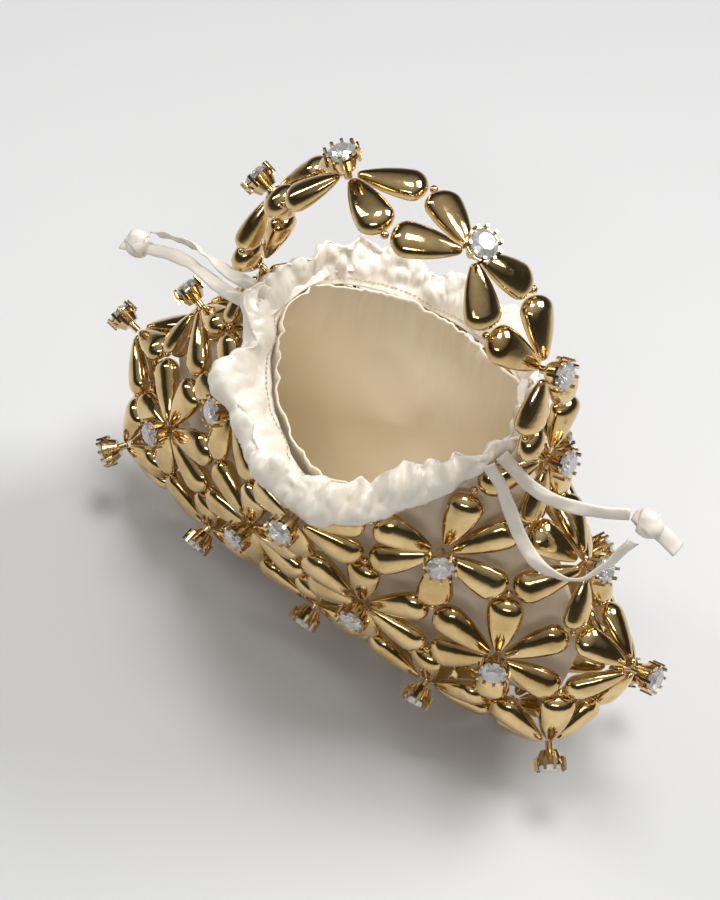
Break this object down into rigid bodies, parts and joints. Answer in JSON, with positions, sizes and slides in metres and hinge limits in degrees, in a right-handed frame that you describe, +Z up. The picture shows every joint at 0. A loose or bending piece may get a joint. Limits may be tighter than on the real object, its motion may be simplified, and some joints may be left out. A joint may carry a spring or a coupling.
{
  "type": "beaded evening bag",
  "caption": "Soft evening pouch bag netted from gold drop-bead flowers with clear claw-set stones, satin drawstring lining and a beaded top handle.",
  "frame": {"origin": "middle of the bag's footprint, on the surface it stands on", "axes": "+X along the bag's length, +Y from front to back, +Z up through the mouth"},
  "size_m": [0.2178, 0.1114, 0.2159],
  "materials": {
    "gold": "polished",
    "setting_gold": "polished",
    "crystal": "polished",
    "satin": "satin",
    "ribbon_satin": "satin"
  },
  "bodies": {
    "bag": {"drawstring_casing": "satin", "lining_pouch": "satin", "petals_keel_1": "gold", "petals_keel_2": "gold", "petals_keel_3": "gold", "petals_keel_4": "gold", "petals_lower_1": "gold", "petals_lower_10": "gold", "petals_lower_2": "gold", "petals_lower_3": "gold", "petals_lower_4": "gold", "petals_lower_5": "gold", "petals_lower_6": "gold", "petals_lower_7": "gold", "petals_lower_8": "gold", "petals_lower_9": "gold", "petals_middle_1": "gold", "petals_middle_10": "gold", "petals_middle_2": "gold", "petals_middle_3": "gold", "petals_middle_4": "gold", "petals_middle_5": "gold", "petals_middle_6": "gold", "petals_middle_7": "gold", "petals_middle_8": "gold", "petals_middle_9": "gold", "petals_ridge_1": "gold", "petals_ridge_2": "gold", "petals_upper_1": "gold", "petals_upper_2": "gold", "petals_upper_3": "gold", "petals_upper_4": "gold", "petals_upper_5": "gold", "petals_upper_6": "gold", "petals_upper_7": "gold", "petals_upper_8": "gold", "settings_lower": "setting_gold", "settings_middle": "setting_gold", "settings_upper": "setting_gold", "spacer_beads_body": "gold", "stones_lower": "crystal", "stones_middle": "crystal", "stones_upper": "crystal"},
    "handle": {"petals_handle_1": "gold", "petals_handle_2": "gold", "petals_handle_3": "gold", "petals_handle_4": "gold", "petals_handle_foot_1": "gold", "petals_handle_foot_2": "gold", "settings_handle": "setting_gold", "spacer_beads_handle": "gold", "stones_handle": "crystal"},
    "drawstring_left": {"knot_left": "ribbon_satin", "ribbon_left_back": "ribbon_satin", "ribbon_left_front": "ribbon_satin"},
    "drawstring_right": {"knot_right": "ribbon_satin", "ribbon_right_loop": "ribbon_satin", "ribbon_right_straight": "ribbon_satin"}
  },
  "joints": [
    {"name": "handle_swing", "type": "hinge", "parent": "bag", "child": "handle", "pos_m": [0, 0, 0.133], "axis": [1, 0, 0], "range_deg": [-60, 15]},
    {"name": "drawstring_right_pull", "type": "slide", "parent": "bag", "child": "drawstring_right", "axis": [1, 0, 0], "range_m": [0, 0.04]},
    {"name": "drawstring_left_pull", "type": "slide", "parent": "bag", "child": "drawstring_left", "axis": [-1, 0, 0], "range_m": [0, 0.04]}
  ],
  "couplings": [
    {"joint": "drawstring_left_pull", "follows": "drawstring_right_pull", "ratio": 1}
  ]
}
